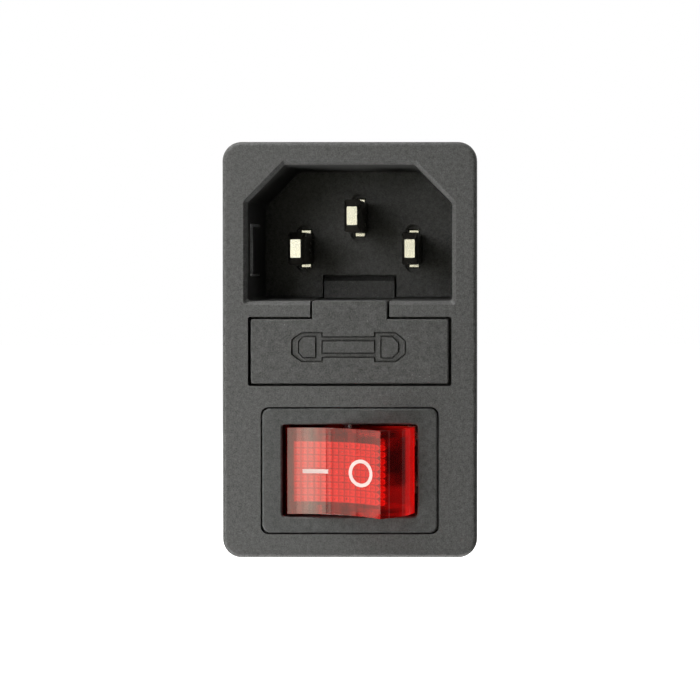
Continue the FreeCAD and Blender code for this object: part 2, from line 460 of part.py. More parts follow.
lead_b = joined(rod_x(wr, -0.2, 1.2, ry, SW_Z), Part.makeSphere(wr, Vector(1.2, ry, SW_Z)), rod_z(wr, SW_Z, SW_Z + 1.9, 1.2, ry), Part.makeSphere(wr, Vector(1.2, ry, SW_Z + 1.9)))
out("lamp_leads", tilt(Part.makeCompound([lead_a, lead_b])))

# ---------------------------------------------------------------- contact bars
BAR_TOP = BAR_HINGE_Y - 0.5
TROUGH_R, BAR_T, ARM_Y = 2.9, 0.5, 0.68


def bar(zc):
    """Spring bronze seesaw: a round trough in the middle and two flat arms; drawn level, then tilted."""
    cy = BAR_TOP - TROUGH_R
    ro = TROUGH_R + BAR_T
    y_arm_top = BAR_TOP - ARM_Y
    y_arm_bot = y_arm_top + BAR_T
    xi = math.sqrt(TROUGH_R ** 2 - (y_arm_top - cy) ** 2)
    xo = math.sqrt(ro ** 2 - (y_arm_bot - cy) ** 2)
    left, right = -4.0, 6.4
    z = zc - 1.45
    V = lambda x, y: Vector(x, y, z)
    edges = [
        Part.LineSegment(V(left, y_arm_top), V(-xi, y_arm_top)).toShape(),
        Part.Arc(V(-xi, y_arm_top), V(0, BAR_TOP), V(xi, y_arm_top)).toShape(),
        Part.LineSegment(V(xi, y_arm_top), V(right, y_arm_top)).toShape(),
        Part.LineSegment(V(right, y_arm_top), V(right, y_arm_bot)).toShape(),
        Part.LineSegment(V(right, y_arm_bot), V(xo, y_arm_bot)).toShape(),
        Part.Arc(V(xo, y_arm_bot), V(0, BAR_HINGE_Y), V(-xo, y_arm_bot)).toShape(),
        Part.LineSegment(V(-xo, y_arm_bot), V(left, y_arm_bot)).toShape(),
        Part.LineSegment(V(left, y_arm_bot), V(left, y_arm_top)).toShape(),
    ]
    return Part.Face(Part.Wire(edges)).extrude(Vector(0, 0, 2.9))


def bar_tilt(shape):
    return tilt(shape, BAR_TILT, BAR_HINGE_Y)


arm_bot = BAR_TOP - ARM_Y + BAR_T
RIVET_X = 5.2
rivets, fixed = [], []
for name, s in (("upper", 1), ("lower", -1)):
    zc = SW_Z + s * ROW
    b = bar(zc).cut(rod_y(0.55, 4, 9, RIVET_X, zc))
    out("%s_contact_bar" % name, bar_tilt(b))
    riv = joined(rod_y(1.1, arm_bot, arm_bot + 0.55, RIVET_X, zc), rod_y(0.55, arm_bot - BAR_T, arm_bot + 0.1, RIVET_X, zc), rod_y(0.85, arm_bot - BAR_T - 0.2, arm_bot - BAR_T, RIVET_X, zc))
    rivets.append(bar_tilt(riv))
    fr = joined(rod_y(1.1, arm_bot + 0.6, arm_bot + 1.05, RIVET_X, zc), rod_y(0.5, arm_bot + 1.0, arm_bot + 1.65, RIVET_X, zc))
    fixed.append(bar_tilt(fr))
    seat = prism_z([(RIVET_X - 1.3, arm_bot + 1.05), (RIVET_X + 2.5, arm_bot + 1.05), (RIVET_X + 2.5, arm_bot + 1.65), (RIVET_X - 1.3, arm_bot + 1.65)], 0, zc - 1.3, zc + 1.3)
    seat = bar_tilt(seat.cut(rod_y(0.5, 4, 12, RIVET_X, zc)))
    tab_pts = [(END_TAB_X - 2.4, 8.35), (END_TAB_X + 1.3, 8.95), (END_TAB_X + 1.3, 11.6), (END_TAB_X + 2.3, 11.6), (END_TAB_X + 2.3, 19.6), (END_TAB_X + 1.4, 20.7), (END_TAB_X - 1.5, 20.7), (END_TAB_X - 2.4, 19.6)]
    tab = prism_z(tab_pts, 0, zc - 0.4, zc + 0.4).cut([rod_z(TAB_HOLE_R, zc - 2, zc + 2, END_TAB_X - 0.05, 17.0), bar_tilt(rod_y(0.5, 4, arm_bot + 1.65, RIVET_X, zc))])
    tab = tab.cut(bar_tilt(box(RIVET_X - 6, RIVET_X + 6, 0, arm_bot + 1.05, zc - 2, zc + 2)))
    out("%s_end_terminal" % name, joined(tab, seat))
    mid_pts = [(-2.35, BAR_HINGE_Y + 0.55), (-1.0, BAR_HINGE_Y + 0.55), (-0.8, BAR_HINGE_Y + 0.08), (0.8, BAR_HINGE_Y + 0.08), (1.0, BAR_HINGE_Y + 0.55), (2.35, BAR_HINGE_Y + 0.55), (2.35, 19.6), (1.45, 20.7), (-1.45, 20.7), (-2.35, 19.6)]
    mid = prism_z(mid_pts, 0, zc - 0.4, zc + 0.4).cut(rod_z(TAB_HOLE_R, zc - 2, zc + 2, 0, 17.0))
    out("%s_centre_terminal" % name, mid)
out("moving_contact_rivets", Part.makeCompound(rivets))
out("fixed_contact_rivets", Part.makeCompound(fixed))
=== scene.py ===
import math

import bmesh
import bpy
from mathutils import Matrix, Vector


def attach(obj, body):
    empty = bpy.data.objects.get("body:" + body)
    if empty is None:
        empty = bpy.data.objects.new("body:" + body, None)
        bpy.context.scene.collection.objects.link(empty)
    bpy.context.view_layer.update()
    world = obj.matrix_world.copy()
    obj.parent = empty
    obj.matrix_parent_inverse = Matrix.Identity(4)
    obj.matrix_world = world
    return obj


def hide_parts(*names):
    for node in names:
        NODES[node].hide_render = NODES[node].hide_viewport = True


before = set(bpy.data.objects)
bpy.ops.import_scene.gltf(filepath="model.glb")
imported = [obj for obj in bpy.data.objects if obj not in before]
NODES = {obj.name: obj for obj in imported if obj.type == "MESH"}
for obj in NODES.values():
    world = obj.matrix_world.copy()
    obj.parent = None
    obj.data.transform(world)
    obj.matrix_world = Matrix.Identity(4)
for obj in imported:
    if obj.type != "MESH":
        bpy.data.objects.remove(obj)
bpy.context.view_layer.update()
MM = 0.001

# ------------------------------------------------------------------ sizes shared with the construction, mm
FRONT = -2.4                          # front face of the flange
SW_Z = -14.49                         # centre height of the switch
PIVOT_Y = 0.3                         # rocker axis
TILT = math.radians(20)               # rocker at rest
RK_A, RK_MID, RK_SAG, RK_H = 6.07, 3.75, 1.42, 5.18
SKIRT_V = -0.9
RK_WALL, RK_TOP = 1.0, 1.3
TOP_R = (RK_A ** 2 + RK_SAG ** 2) / (2 * RK_SAG)
R_END = math.hypot(RK_A, RK_MID + RK_SAG)
R_IN = R_END - 0.78

scene = bpy.context.scene
scene.view_settings.view_transform = "Standard"
scene.view_settings.look = "None"
scene.view_settings.exposure = 0.0
scene.view_settings.gamma = 1.0


# ------------------------------------------------------------------ node helpers
def node(nt, kind, props=None, **inputs):
    n = nt.nodes.new(kind)
    for k, v in (props or {}).items():
        setattr(n, k, v)
    for k, v in inputs.items():
        s = n.inputs[int(k[1:])] if k[0] == "i" and k[1:].isdigit() else n.inputs[k.replace("_", " ")]
        if isinstance(v, bpy.types.NodeSocket):
            nt.links.new(v, s)
        else:
            s.default_value = v
    return n


def new_material(name):
    m = bpy.data.materials.new(name)
    m.use_nodes = True
    nt = m.node_tree
    return m, nt, nt.nodes["Principled BSDF"]


def coords(nt, scale=None, rotation=None):
    out = node(nt, "ShaderNodeTexCoord").outputs["Object"]
    if scale or rotation:
        out = node(nt, "ShaderNodeMapping", Vector=out, Scale=scale or (1, 1, 1), Rotation=rotation or (0, 0, 0)).outputs[0]
    return out


def noise(nt, vec, scale, detail=2.0, rough=0.5, distortion=0.0):
    return node(nt, "ShaderNodeTexNoise", Vector=vec, Scale=scale, Detail=detail, Roughness=rough, Distortion=distortion).outputs[0]


def math_node(nt, op, a, b=0.0, c=0.0, clamp=False):
    return node(nt, "ShaderNodeMath", {"operation": op, "use_clamp": clamp}, i0=a, i1=b, i2=c).outputs[0]


def weighted(nt, base, terms):
    """base + the sum of weight * (noise - 0.5)"""
    out = base
    for fac, w in terms:
        out = math_node(nt, "MULTIPLY_ADD", fac, w, math_node(nt, "ADD", out, -0.5 * w) if not isinstance(out, float) else out - 0.5 * w)
    return out


def span(nt, fac, a0, a1, b0, b1):
    return node(nt, "ShaderNodeMapRange", {"clamp": True}, Value=fac, i1=a0, i2=a1, i3=b0, i4=b1).outputs[0]


def tint(nt, rgb, factor):
    """rgb times a varying factor"""
    c = node(nt, "ShaderNodeCombineXYZ", X=rgb[0], Y=rgb[1], Z=rgb[2]).outputs[0]
    return node(nt, "ShaderNodeVectorMath", {"operation": "SCALE"}, i0=c, Scale=factor).outputs[0]


def mix_colour(nt, fac, a, b):
    n = nt.nodes.new("ShaderNodeMix")
    n.data_type = "RGBA"
    for s, v in ((n.inputs[0], fac), (n.inputs[6], a), (n.inputs[7], b)):
        if isinstance(v, bpy.types.NodeSocket):
            nt.links.new(v, s)
        else:
            s.default_value = v if isinstance(v, float) else (*v, 1)
    return n.outputs[2]


def bump(nt, height, distance, strength=1.0, normal=None):
    n = node(nt, "ShaderNodeBump", Strength=strength, Distance=distance, Height=height)
    if normal is not None:
        nt.links.new(normal, n.inputs["Normal"])
    return n.outputs[0]


def level(nt):
    """The rocker's own frame at a point of its mesh: u along the top, v outwards from the axis, z from its middle, mm."""
    o = coords(nt)
    c, s = math.cos(TILT), math.sin(TILT)

    def along(d, offset):
        dot = node(nt, "ShaderNodeVectorMath", {"operation": "DOT_PRODUCT"}, i0=o, i1=d).outputs["Value"]
        return math_node(nt, "ADD", dot, offset)

    k = 1 / MM
    return (along((c * k, -s * k, 0), PIVOT_Y * s), along((-s * k, -c * k, 0), PIVOT_Y * c), along((0, 0, k), -SW_Z))


# ------------------------------------------------------------------ materials
def plastic(name, rgb, rough, grain=2.2, mottle=1.45, wave=0.10, height=9.0e-6, specks=0.0, seed=0.0, specular=0.5):
    """Matte moulded plastic: a fine spark-eroded grain, cloudy mottling and a few pale specks."""
    m, nt, b = new_material(name)
    v = coords(nt)
    v = node(nt, "ShaderNodeVectorMath", {"operation": "ADD"}, i0=v, i1=(seed, seed * 0.7, seed * 1.3)).outputs[0]
    fine = noise(nt, v, 6200, 2.0, 0.6)
    mid = noise(nt, v, 2100, 3.0, 0.55)
    slow = noise(nt, v, 160, 3.0, 0.5)
    f = weighted(nt, 1.0, [(fine, grain), (mid, mottle), (slow, wave)])
    colour = tint(nt, rgb, f)
    if specks:
        dots = noise(nt, v, 4300, 1.0, 0.4)
        spread = noise(nt, v, 420, 2.0, 0.5)
        mask = math_node(nt, "MULTIPLY", span(nt, dots, 0.66, 0.74, 0.0, 1.0), span(nt, spread, 0.47, 0.62, 0.15, 1.0))
        mask = math_node(nt, "MULTIPLY", mask, specks)
        colour = mix_colour(nt, mask, colour, (0.30, 0.30, 0.29))
    nt.links.new(colour, b.inputs["Base Color"])
    nt.links.new(weighted(nt, rough, [(mid, 0.10), (slow, 0.06)]), b.inputs["Roughness"])
    b.inputs["Specular IOR Level"].default_value = specular
    h = weighted(nt, 0.5, [(fine, 0.8), (mid, 0.7)])
    nt.links.new(bump(nt, h, height), b.inputs["Normal"])
    return m


def metal(name, rgb, rough, brush=(1, 1, 1), scale=2500, tarnish=0.12, height=1.5e-6, spots=0.0, spot_rgb=(0.3, 0.25, 0.2), painted_flank_reflection=None):
    """Plated or bare sheet metal: drawn or rolled lines, a little tarnish, uneven gloss. With a flank colour given, the
    side faces that stand in the recess get a painted dark reflection of the recess.
    """
    m, nt, b = new_material(name)
    v = coords(nt, scale=brush)
    w = coords(nt)
    lines = noise(nt, v, scale, 3.0, 0.6)
    cloud = noise(nt, w, 700, 3.0, 0.55)
    fine = noise(nt, w, 5200, 2.0, 0.5)
    colour = tint(nt, rgb, weighted(nt, 1.0, [(lines, tarnish), (cloud, tarnish * 1.2)]))
    if spots:
        mask = math_node(nt, "MULTIPLY", span(nt, noise(nt, w, 1500, 3.0, 0.6), 0.58, 0.72, 0.0, 1.0), spots)
        colour = mix_colour(nt, mask, colour, spot_rgb)
    # painted reflection: side faces inside the recess are painted dark, as a reflection of the dark recess; faces
    # turned to the front or back, and the part deeper than 13.2 mm, keep the metal colour
    if painted_flank_reflection is not None:
        facing = math_node(nt, "ABSOLUTE", node(nt, "ShaderNodeSeparateXYZ", Vector=node(nt, "ShaderNodeNewGeometry").outputs["True Normal"]).outputs[1])
        depth = node(nt, "ShaderNodeSeparateXYZ", Vector=w).outputs[1]
        keep = math_node(nt, "MAXIMUM", span(nt, facing, 0.86, 0.96, 0.0, 1.0), span(nt, depth, 0.0132, 0.0142, 0.0, 1.0))
        colour = mix_colour(nt, keep, painted_flank_reflection, colour)
    nt.links.new(colour, b.inputs["Base Color"])
    b.inputs["Metallic"].default_value = 1.0
    nt.links.new(weighted(nt, rough, [(cloud, 0.16), (lines, 0.10)]), b.inputs["Roughness"])
    h = weighted(nt, 0.5, [(lines, 0.8), (fine, 0.35)])
    nt.links.new(bump(nt, h, height), b.inputs["Normal"])
    return m


def clear(name, rgb, rough, ior, ripple=2.0e-6, scale=500, haze=0.03, coat=0.0, glow=None, through=1.0):
    """Clear or tinted moulding or glass: polished, with a faint ripple and faint smears. glow builds, from its node
    tree, an emission colour: painted light standing in for the colour that a thick tinted moulding sends back from
    inside."""
    m, nt, b = new_material(name)
    v = coords(nt)
    slow = noise(nt, v, scale, 2.0, 0.5)
    smear = noise(nt, v, 900, 3.0, 0.6)
    nt.links.new(tint(nt, rgb, weighted(nt, 1.0, [(slow, 0.06)])), b.inputs["Base Color"])
    nt.links.new(span(nt, smear, 0.35, 0.75, rough, rough + haze), b.inputs["Roughness"])
    b.inputs["Transmission Weight"].default_value = through
    b.inputs["IOR"].default_value = ior
    if coat:
        b.inputs["Coat Weight"].default_value = coat
        b.inputs["Coat Roughness"].default_value = 0.03
        b.inputs["Coat IOR"].default_value = 1.7
    if glow is not None:
        nt.links.new(glow(nt, slow, smear), b.inputs["Emission Color"])
        b.inputs["Emission Strength"].default_value = 1.0
    nt.links.new(bump(nt, slow, ripple), b.inputs["Normal"])
    return m


def painted_glow_streaks(nt, slow, smear):
    """Painted light: red emission for the light that the moulding sends back, uneven along its length."""
    u, v, z = level(nt)
    w = node(nt, "ShaderNodeCombineXYZ", X=u, Y=3.7, Z=math_node(nt, "MULTIPLY", z, 0.12)).outputs[0]
    amount = math_node(nt, "MAXIMUM", weighted(nt, 0.045, [(noise(nt, w, 0.55, 2.0, 0.55), 0.62)]), 0.0)
    return tint(nt, (1.0, 0.03, 0.025), amount)


def painted_edge_glow(nt, slow, smear):
    """Painted light: red emission standing in for light led along the moulding that leaves it near the foot of its
    right end, more on the lower half; and a thin pale line where the walls stand 4.2 mm out from the axis, a painted
    reflection.
    """
    u, v, z = level(nt)
    # painted glow: brightest near the foot of the wall, weaker over the lower half, on the right end only
    foot = span(nt, v, 1.85, 1.45, 0.0, 1.0)
    low = math_node(nt, "MULTIPLY", span(nt, z, -1.2, -1.9, 0.0, 1.0), span(nt, z, -4.5, -3.9, 0.35, 1.0))
    low = math_node(nt, "MULTIPLY", low, span(nt, v, 5.0, 3.4, 0.55, 1.0))
    amount = math_node(nt, "MULTIPLY_ADD", foot, 0.31, math_node(nt, "MULTIPLY", low, 0.15))
    amount = math_node(nt, "MULTIPLY", math_node(nt, "MINIMUM", amount, 0.33), span(nt, u, 3.5, 5.5, 0.0, 1.0))
    red = tint(nt, (1.0, 0.012, 0.010), math_node(nt, "MULTIPLY", amount, weighted(nt, 1.0, [(slow, 0.3)])))
    # painted reflection: a thin pale line 4.2 mm out from the axis
    line = span(nt, math_node(nt, "ABSOLUTE", math_node(nt, "SUBTRACT", v, 4.2)), 0.03, 0.08, 1.0, 0.0)
    pale = tint(nt, (1.0, 0.35, 0.33), math_node(nt, "MULTIPLY", line, weighted(nt, 0.045, [(smear, 0.10)])))
    return node(nt, "ShaderNodeVectorMath", {"operation": "ADD"}, i0=red, i1=pale).outputs[0]


PITCH_U, PITCH_Z, CELLS_U, CELLS_Z, PYRAMID, GRID_Z = 0.785, 0.81, 15, 9, 0.40, -0.18


def lens_grid(name, rgb, rough, painted_glow_rgb, through):
    """Moulded pyramids under the rocker's top. Their colour is painted light, emission standing in for the light they
    turn back; the valleys between them and a line through the middle of each row get painted shade, the grid is painted
    dimmer towards the left end, and it fades out in teeth at the right end."""
    m, nt, b = new_material(name)
    p = coords(nt)
    mid = noise(nt, p, 1800, 3.0, 0.55)
    slow = noise(nt, p, 240, 2.0, 0.5)
    u, v, z = level(nt)

    def cell(x, cells, pitch):
        f = math_node(nt, "FRACT", math_node(nt, "MULTIPLY_ADD", x, 1 / pitch, cells / 2 + 20))
        return math_node(nt, "ABSOLUTE", math_node(nt, "SUBTRACT", f, 0.5))

    cu, cz = cell(u, CELLS_U, PITCH_U), cell(math_node(nt, "SUBTRACT", z, GRID_Z), CELLS_Z, PITCH_Z)
    # painted shade: darker valleys between the pyramids and a darker line through the middle of each row
    lines = math_node(nt, "MAXIMUM", span(nt, cu, 0.31, 0.47, 0.0, 1.0), span(nt, cz, 0.31, 0.47, 0.0, 0.85))
    lines = math_node(nt, "MAXIMUM", lines, span(nt, cz, 0.02, 0.13, 0.42, 0.0))
    factor = math_node(nt, "MULTIPLY_ADD", lines, -0.52, 1.09)
    teeth = span(nt, math_node(nt, "SUBTRACT", cz, span(nt, u, 5.30, 5.88, 0.47, 0.06)), -0.03, 0.05, 1.0, 0.12)
    factor = math_node(nt, "MULTIPLY", factor, teeth)
    # painted shade: dimmer towards the left end
    factor = math_node(nt, "MULTIPLY", factor, span(nt, u, -6.0, -2.0, 0.62, 1.0))
    factor = math_node(nt, "MULTIPLY", factor, weighted(nt, 1.0, [(mid, 0.18), (slow, 0.14)]))
    nt.links.new(tint(nt, rgb, factor), b.inputs["Base Color"])
    nt.links.new(weighted(nt, rough, [(mid, 0.15)]), b.inputs["Roughness"])
    b.inputs["Transmission Weight"].default_value = through
    b.inputs["IOR"].default_value = 1.5
    # painted light: the grid glows by emission
    nt.links.new(tint(nt, painted_glow_rgb, factor), b.inputs["Emission Color"])
    b.inputs["Emission Strength"].default_value = 1.0
    nt.links.new(bump(nt, mid, 2.0e-6), b.inputs["Normal"])
    return m


M = {}
M["housing_plastic"] = plastic("housing_plastic", (0.0605, 0.0605, 0.0592), 0.56)
M["drawer_plastic"] = plastic("drawer_plastic", (0.0522, 0.0523, 0.0510), 0.54, specks=0.35, seed=0.031)
M["switch_plastic"] = plastic("switch_plastic", (0.0505, 0.0515, 0.0505), 0.52, grain=1.8, mottle=1.5, seed=0.067)
# the blades' side faces get a painted dark reflection of the recess
M["plated_blade"] = metal("plated_blade", (0.74, 0.72, 0.64), 0.24, brush=(1, 0.12, 1), scale=3600, painted_flank_reflection=(0.30, 0.28, 0.25))
M["spring_brass"] = metal("spring_brass", (0.78, 0.57, 0.27), 0.27, brush=(1, 0.15, 1), scale=3000, spots=0.25, spot_rgb=(0.45, 0.30, 0.14))
M["terminal_brass"] = metal("terminal_brass", (0.79, 0.76, 0.70), 0.28, brush=(1, 0.15, 1), scale=3200, spots=0.15, spot_rgb=(0.55, 0.50, 0.42))
M["fuse_glass"] = clear("fuse_glass", (0.97, 0.985, 0.98), 0.01, 1.50, ripple=1.0e-6, haze=0.03)
M["fuse_cap_metal"] = metal("fuse_cap_metal", (0.78, 0.76, 0.72), 0.20, brush=(1, 1, 1), scale=2600, height=1.0e-6)
M["fuse_wire_metal"] = metal("fuse_wire_metal", (0.62, 0.58, 0.53), 0.35, scale=4000)
M["plunger_plastic"] = plastic("plunger_plastic", (0.62, 0.61, 0.57), 0.38, grain=0.06, mottle=0.06, height=1.5e-6, seed=0.11)
M["spring_steel"] = metal("spring_steel", (0.55, 0.55, 0.56), 0.26, scale=4200)
M["lamp_glass"] = clear("lamp_glass", (0.96, 0.93, 0.88), 0.02, 1.50, ripple=6.0e-6, scale=700)
M["resistor_lacquer"] = plastic("resistor_lacquer", (0.50, 0.36, 0.21), 0.32, grain=0.05, mottle=0.10, height=1.5e-6, seed=0.15)
M["tinned_wire"] = metal("tinned_wire", (0.72, 0.72, 0.71), 0.30, scale=3800)
M["contact_silver"] = metal("contact_silver", (0.86, 0.85, 0.83), 0.26, scale=3300, spots=0.3, spot_rgb=(0.42, 0.38, 0.33))
# painted light: the rocker's walls and top take red emission from their glow functions
M["rocker_red"] = clear("rocker_red", (0.52, 0.008, 0.007), 0.03, 1.50, ripple=3.0e-6, scale=420, haze=0.05, coat=1.0, glow=painted_edge_glow, through=0.90)
M["rocker_top"] = clear("rocker_top", (0.50, 0.008, 0.007), 0.03, 1.50, ripple=3.0e-6, scale=420, haze=0.05, coat=1.0, glow=painted_glow_streaks, through=0.86)
M["rocker_inside"] = clear("rocker_inside", (0.55, 0.008, 0.007), 0.18, 1.50, ripple=3.0e-6, scale=420, haze=0.10, through=0.90)
# the lens grid's glow colour is painted light
M["rocker_lens"] = lens_grid("rocker_lens", (0.35, 0.02, 0.015), 0.30, (0.72, 0.036, 0.022), 0.30)
M["mark_ink"] = plastic("mark_ink", (0.67, 0.51, 0.48), 0.45, grain=0.05, mottle=0.05, wave=0.03, height=1.0e-6, seed=0.2)


BY_NODE = {
    "housing": "housing_plastic", "fuse_drawer": "drawer_plastic", "switch_body": "switch_plastic", "rocker": "rocker_red",
    "line_pin": "plated_blade", "neutral_pin": "plated_blade", "earth_pin": "plated_blade",
    "line_fuse_clip": "spring_brass", "load_fuse_clip": "spring_brass",
    "upper_centre_terminal": "terminal_brass", "lower_centre_terminal": "terminal_brass",
    "upper_end_terminal": "terminal_brass", "lower_end_terminal": "terminal_brass",
    "fixed_contact_rivets": "contact_silver", "moving_contact_rivets": "contact_silver",
    "upper_contact_bar": "spring_brass", "lower_contact_bar": "spring_brass",
    "upper_plunger": "plunger_plastic", "lower_plunger": "plunger_plastic",
    "upper_plunger_spring": "spring_steel", "lower_plunger_spring": "spring_steel",
    "neon_lamp": "lamp_glass", "lamp_resistor": "resistor_lacquer", "lamp_leads": "tinned_wire",
    "fuse_glass_tube": "fuse_glass", "fuse_cap_left": "fuse_cap_metal", "fuse_cap_right": "fuse_cap_metal",
    "fuse_wire": "fuse_wire_metal",
}
for name, obj in NODES.items():
    mat = M[BY_NODE[name]]
    if not obj.material_slots:
        obj.data.materials.append(mat)
    for s in obj.material_slots:
        s.material = mat


# ------------------------------------------------------------------ the rocker
def top_v(u):
    """Height of the concave top over the axis, in the level frame, mm."""
    return RK_MID + TOP_R - math.sqrt(TOP_R ** 2 - u * u)


def at(u, v, z):
    """Level frame (u along X, v towards the front, z from the switch's centre), mm, to the row frame at rest, m."""
    c, s = math.cos(TILT), math.sin(TILT)
    return Vector(((u * c - v * s) * MM, (PIVOT_Y - (u * s + v * c)) * MM, (SW_Z + z) * MM))


class Mesh:
    """A small mesh builder that shares corners."""

    def __init__(self):
        self.bm = bmesh.new()
        self.seen = {}
        self.level = {}

    def vert(self, u, v, z):
        k = (round(u, 4), round(v, 4), round(z, 4))
        if k not in self.seen:
            self.seen[k] = self.bm.verts.new(at(u, v, z))
            self.level[self.seen[k]] = (u, v, z)
        return self.seen[k]

    def face(self, corners, slot=0):
        vs = []
        for c in corners:
            w = self.vert(*c)
            if w not in vs:
                vs.append(w)
        f = self.bm.faces.new(vs)
        f.material_index = slot
        return f

    def finish(self, name, materials, smooth_deg=None):
        bmesh.ops.recalc_face_normals(self.bm, faces=self.bm.faces)
        me = bpy.data.meshes.new(name)
        self.bm.to_mesh(me)
        self.bm.free()
        for m in materials:
            me.materials.append(m)
        if smooth_deg is not None:
            me.shade_smooth()
            me.set_sharp_from_angle(angle=math.radians(smooth_deg))
        o = bpy.data.objects.new(name, me)
        scene.collection.objects.link(o)
        return o


def arc_points(r, a0, a1, n):
    return [(r * math.cos(a0 + (a1 - a0) * i / n), r * math.sin(a0 + (a1 - a0) * i / n)) for i in range(n + 1)]


def rocker_shell():
    """One closed moulding: concave top, ends that follow a circle about the axis, thin walls, and a field of
    square pyramids moulded on the underside of the top."""
    b = Mesh()
    weight = b.bm.edges.layers.float.new("bevel_weight_edge")
    foot = math.sqrt(R_END ** 2 - SKIRT_V ** 2)
    right = arc_points(R_END, math.atan2(SKIRT_V, foot), math.atan2(RK_MID + RK_SAG, RK_A), 24)
    top = [(RK_A - 2 * RK_A * i / 60, top_v(RK_A - 2 * RK_A * i / 60)) for i in range(1, 60)]
    prof = right + top + [(-u, v) for u, v in reversed(right)]
    for (u0, v0), (u1, v1) in zip(prof, prof[1:]):
        on_top = max(abs(u0), abs(u1)) < RK_A + 1e-6
        b.face([(u0, v0, -RK_H), (u1, v1, -RK_H), (u1, v1, RK_H), (u0, v0, RK_H)], 2 if on_top else 0)
    b.face([(u, v, -RK_H) for u, v in prof])
    b.face([(u, v, RK_H) for u, v in prof])
    # inside
    nu, nz, high = CELLS_U, CELLS_Z, PYRAMID
    ai, hi, gz = PITCH_U * nu / 2, RK_H - RK_WALL, PITCH_Z * nz / 2
    ceil = lambda u: top_v(min(abs(u), ai)) - RK_TOP
    ve = ceil(ai)
    ae = math.sqrt(R_IN ** 2 - ve ** 2)
    ins = arc_points(R_IN, math.atan2(SKIRT_V, math.sqrt(R_IN ** 2 - SKIRT_V ** 2)), math.atan2(ve, ae), 18)
    us = [-ai + PITCH_U * i for i in range(nu + 1)]
    zs = [GRID_Z - gz + PITCH_Z * j for j in range(nz + 1)]
    wide = [-ae] + us + [ae]
    for u0, u1 in zip(wide, wide[1:]):
        for z0, z1 in ((-hi, zs[0]), (zs[-1], hi)):
            b.face([(u0, ceil(u0), z0), (u0, ceil(u0), z1), (u1, ceil(u1), z1), (u1, ceil(u1), z0)], 3)
    for u0, u1 in ((-ae, -ai), (ai, ae)):
        for z0, z1 in zip(zs, zs[1:]):
            b.face([(u0, ve, z0), (u0, ve, z1), (u1, ve, z1), (u1, ve, z0)], 3)
    for u0, u1 in zip(us, us[1:]):
        slope = (ceil(u1) - ceil(u0)) / (u1 - u0)
        length = math.hypot(1, slope)
        for z0, z1 in zip(zs, zs[1:]):
            apex = ((u0 + u1) / 2 + high * slope / length, (ceil(u0) + ceil(u1)) / 2 - high / length, (z0 + z1) / 2)
            ring = [(u0, ceil(u0), z0), (u0, ceil(u0), z1), (u1, ceil(u1), z1), (u1, ceil(u1), z0)]
            for k in range(4):
                b.face([ring[k], ring[(k + 1) % 4], apex], 1)
    for sign in (1, -1):
        seq = [(sign * u, v) for u, v in ins]
        for i, ((u0, v0), (u1, v1)) in enumerate(zip(seq, seq[1:])):
            if i == len(seq) - 2:
                b.face([(u0, v0, -hi)] + [(u1, v1, z) for z in [-hi] + zs + [hi]] + [(u0, v0, hi)], 3)
            else:
                b.face([(u0, v0, -hi), (u1, v1, -hi), (u1, v1, hi), (u0, v0, hi)], 3)
    loop = ins + [(u, ceil(u)) for u in reversed(us)] + [(-u, v) for u, v in reversed(ins)]
    for z in (-hi, hi):
        b.face([(u, v, z) for u, v in loop], 3)
    # rim
    fi = math.sqrt(R_IN ** 2 - SKIRT_V ** 2)
    o = [(foot, SKIRT_V, -RK_H), (foot, SKIRT_V, RK_H), (-foot, SKIRT_V, RK_H), (-foot, SKIRT_V, -RK_H)]
    n = [(fi, SKIRT_V, -hi), (fi, SKIRT_V, hi), (-fi, SKIRT_V, hi), (-fi, SKIRT_V, -hi)]
    for k in range(4):
        b.face([o[k], o[(k + 1) % 4], n[(k + 1) % 4], n[k]])
    # rounded outer edges
    outer = set((round(u, 4), round(v, 4)) for u, v in prof)
    for e in b.bm.edges:
        (ua, va, za), (ub, vb, zb) = (b.level[w] for w in e.verts)
        if (round(ua, 4), round(va, 4)) in outer and (round(ub, 4), round(vb, 4)) in outer:
            if abs(za - zb) < 1e-6 and abs(abs(za) - RK_H) < 1e-6 and min(va, vb) > SKIRT_V + 0.01:
                e[weight] = 1.0
            if abs(za - zb) > 1 and abs(ua - ub) < 1e-6 and abs(abs(ua) - RK_A) < 1e-3:
                e[weight] = 1.0
    o = b.finish("rocker_shell", [M["rocker_red"], M["rocker_lens"], M["rocker_top"], M["rocker_inside"]])
    mod = o.modifiers.new("edges", "BEVEL")
    mod.limit_method = "WEIGHT"
    mod.width = 0.20 * MM
    mod.segments = 3
    mod.harden_normals = False
    return o


def tube(b, r0, r1, v0, v1, z, n=40, axis="v", floor=None):
    """A ring or a solid round bar (r0 = 0) about a line along v or z; with floor, a blind hole ends there."""
    def p(r, k, t):
        a = 2 * math.pi * k / n
        return (r * math.cos(a), t, z + r * math.sin(a)) if axis == "v" else (r * math.cos(a), r * math.sin(a), t)

    for k in range(n):
        j = k + 1
        b.face([p(r1, k, v0), p(r1, j, v0), p(r1, j, v1), p(r1, k, v1)])
        if r0:
            lo = v0 if floor is None else floor
            b.face([p(r0, k, lo), p(r0, j, lo), p(r0, j, v1), p(r0, k, v1)])
            b.face([p(r0, k, v1), p(r0, j, v1), p(r1, j, v1), p(r1, k, v1)])
            if floor is None:
                b.face([p(r0, k, v0), p(r0, j, v0), p(r1, j, v0), p(r1, k, v0)])
    if r0 and floor is not None:
        b.face([p(r0, k, floor) for k in range(n)])
        b.face([p(r1, k, v0) for k in range(n)])
    if not r0:
        b.face([p(r1, k, v0) for k in range(n)])
        b.face([p(r1, k, v1) for k in range(n)])


def rocker_sockets():
    b = Mesh()
    for s in (-1, 1):
        tube(b, 0.95, 1.4, 2.02, -2.4, s * 3.0, floor=1.7)
        z0, z1 = sorted((s * (RK_H + 0.01), s * 6.0))
        tube(b, 0, 1.2, z0, z1, 0, axis="z")
    return b.finish("rocker_sockets", [M["rocker_inside"]], 40)


shell = rocker_shell()
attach(shell, "rocker_group")
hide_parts("rocker")
sockets = rocker_sockets()
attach(sockets, "rocker_group")


